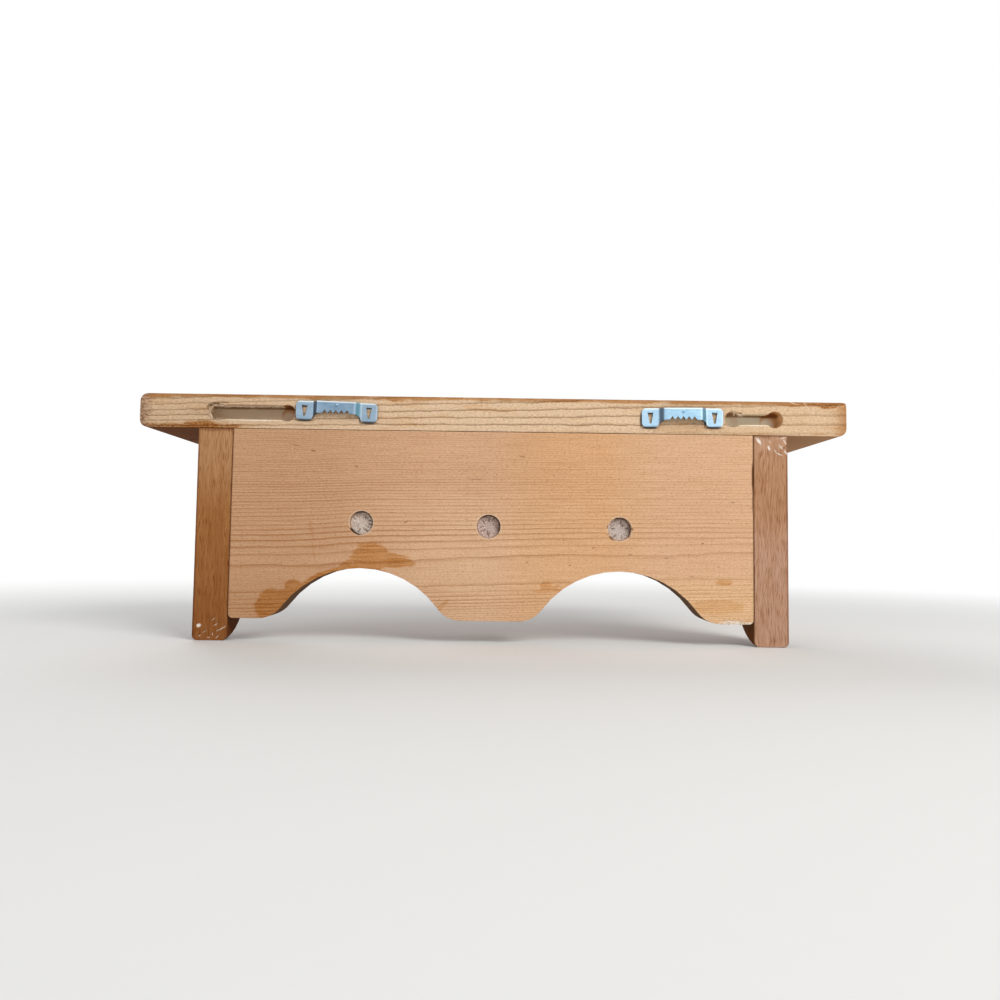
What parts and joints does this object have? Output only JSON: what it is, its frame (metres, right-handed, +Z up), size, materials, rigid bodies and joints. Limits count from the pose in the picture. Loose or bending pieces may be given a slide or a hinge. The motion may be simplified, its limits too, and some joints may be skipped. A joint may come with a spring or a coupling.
{
  "type": "peg wall shelf",
  "caption": "Small pine wall shelf on two cove-cut brackets, with a scalloped back panel that carries turned pegs; hangs by sawtooth hangers or keyhole slots in its rear edge.",
  "frame": {"origin": "middle of the shelf board's rear edge, in the plane of the wall side of the boards, at half the board's thickness", "axes": "+X along the shelf to its right as seen from the front, +Y towards the wall, +Z up"},
  "size_m": [0.3974, 0.1372, 0.1373],
  "materials": {
    "shelf_pine": "stained and satin varnished on top, nearly bare on the rear edge",
    "panel_pine": "thin stain, satin",
    "bracket_pine": "brown stain, satin",
    "peg_birch": "turned, stained, satin",
    "dowel_beech": "bare",
    "hanger_steel": "pale blue zinc plate"
  },
  "bodies": {
    "root": {"shelf_board": "shelf_pine", "back_panel": "panel_pine", "bracket_left": "bracket_pine", "bracket_right": "bracket_pine", "peg_left": "peg_birch", "peg_middle": "peg_birch", "peg_right": "peg_birch", "hanger_left": "hanger_steel", "hanger_right": "hanger_steel", "shelf_dowel_left_rear": "dowel_beech", "shelf_dowel_left_front": "dowel_beech", "shelf_dowel_right_rear": "dowel_beech", "shelf_dowel_right_front": "dowel_beech", "panel_dowel_left_upper": "dowel_beech", "panel_dowel_left_lower": "dowel_beech", "panel_dowel_right_upper": "dowel_beech", "panel_dowel_right_lower": "dowel_beech", "top_dowel_left": "dowel_beech", "top_dowel_middle": "dowel_beech", "top_dowel_right": "dowel_beech"}
  },
  "joints": []
}
